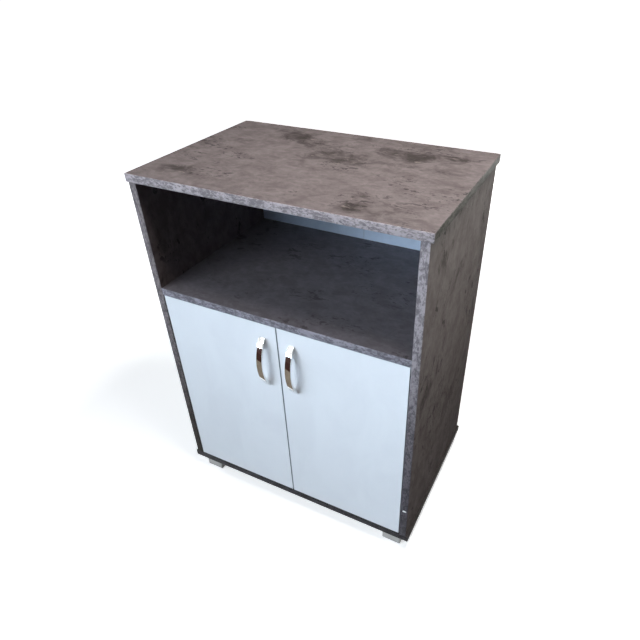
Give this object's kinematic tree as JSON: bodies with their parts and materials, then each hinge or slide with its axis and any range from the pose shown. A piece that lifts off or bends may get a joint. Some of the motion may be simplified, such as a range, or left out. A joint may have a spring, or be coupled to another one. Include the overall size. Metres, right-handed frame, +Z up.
{
  "type": "kitchen cabinet",
  "caption": "Free-standing low cabinet with an open niche above a pair of hinged doors with bow handles, standing on short square feet.",
  "frame": {"origin": "on the floor, at the middle of the whole cabinet's bounding box, handles included", "axes": "+X to the right seen from the front, +Y to the back, +Z up; the doors face -Y"},
  "size_m": [0.682, 0.4694, 0.911],
  "materials": {
    "concrete_board": "concrete-look laminate on chipboard, satin",
    "concrete_band": "speckled grey edge band, satin",
    "door_board": "plain white laminate on chipboard, satin",
    "door_band": "plain white edge band, satin",
    "back_board": "thin hardboard with a painted pale grey face",
    "handle_metal": "polished chrome plating",
    "foot_plastic": "moulded grey plastic with a fine grain",
    "hinge_steel": "nickel-plated pressed steel, satin",
    "cam_zinc": "zinc casting, dull",
    "screw_steel": "zinc-plated steel",
    "dowel_wood": "plain turned beech"
  },
  "bodies": {
    "cabinet": {"top_panel": "concrete_board", "top_front_band": "concrete_band", "top_end_bands": "concrete_band", "bottom_panel": "concrete_board", "bottom_front_band": "concrete_band", "bottom_end_bands": "concrete_band", "left_side": "concrete_board", "left_side_band": "concrete_band", "right_side": "concrete_board", "right_side_band": "concrete_band", "fixed_shelf": "concrete_board", "fixed_shelf_band": "concrete_band", "inner_shelf": "concrete_board", "inner_shelf_band": "concrete_band", "back_sheet_left": "back_board", "back_sheet_right": "back_board", "top_cam_locks": "cam_zinc", "top_cam_bolts": "screw_steel", "shelf_cam_locks": "cam_zinc", "shelf_cam_bolts": "screw_steel", "wood_dowels": "dowel_wood", "bottom_screws": "screw_steel", "back_nails": "screw_steel", "shelf_pegs": "screw_steel", "foot_front_left": "foot_plastic", "foot_front_right": "foot_plastic", "foot_rear_left": "foot_plastic", "foot_rear_right": "foot_plastic", "foot_screws": "screw_steel", "hinge_arm_pins": "hinge_steel", "hinge_plate_screws": "screw_steel", "hinge_arm_screws": "screw_steel", "hinge_plate_left_upper": "hinge_steel", "hinge_arm_left_upper": "hinge_steel", "hinge_plate_left_lower": "hinge_steel", "hinge_arm_left_lower": "hinge_steel", "hinge_plate_right_upper": "hinge_steel", "hinge_arm_right_upper": "hinge_steel", "hinge_plate_right_lower": "hinge_steel", "hinge_arm_right_lower": "hinge_steel"},
    "left_hinge_links": {"hinge_link_left_upper": "hinge_steel", "hinge_link_left_lower": "hinge_steel"},
    "left_door": {"left_door": "door_board", "left_door_bands": "door_band", "left_handle": "handle_metal", "left_handle_screws": "screw_steel", "left_cup_pins": "hinge_steel", "left_cup_screws": "screw_steel", "hinge_cup_left_upper": "hinge_steel", "hinge_cup_left_lower": "hinge_steel"},
    "right_hinge_links": {"hinge_link_right_upper": "hinge_steel", "hinge_link_right_lower": "hinge_steel"},
    "right_door": {"right_door": "door_board", "right_door_bands": "door_band", "right_handle": "handle_metal", "right_handle_screws": "screw_steel", "right_cup_pins": "hinge_steel", "right_cup_screws": "screw_steel", "hinge_cup_right_upper": "hinge_steel", "hinge_cup_right_lower": "hinge_steel"}
  },
  "joints": [
    {"name": "left_link_swing", "type": "hinge", "parent": "cabinet", "child": "left_hinge_links", "pos_m": [-0.283, -0.17715, 0.34], "axis": [0, 0, 1], "range_deg": [0, 40.76]},
    {"name": "left_door_swing", "type": "hinge", "parent": "left_hinge_links", "child": "left_door", "pos_m": [-0.2995, -0.19495, 0.34], "axis": [0, 0, -1], "range_deg": [0, 135.66]},
    {"name": "right_link_swing", "type": "hinge", "parent": "cabinet", "child": "right_hinge_links", "pos_m": [0.283, -0.17715, 0.34], "axis": [0, 0, -1], "range_deg": [0, 40.76]},
    {"name": "right_door_swing", "type": "hinge", "parent": "right_hinge_links", "child": "right_door", "pos_m": [0.2995, -0.19495, 0.34], "axis": [0, 0, 1], "range_deg": [0, 135.66]}
  ],
  "couplings": [
    {"joint": "left_link_swing", "follows": "left_door_swing", "ratio": 0.29972},
    {"joint": "right_link_swing", "follows": "right_door_swing", "ratio": 0.29972}
  ]
}
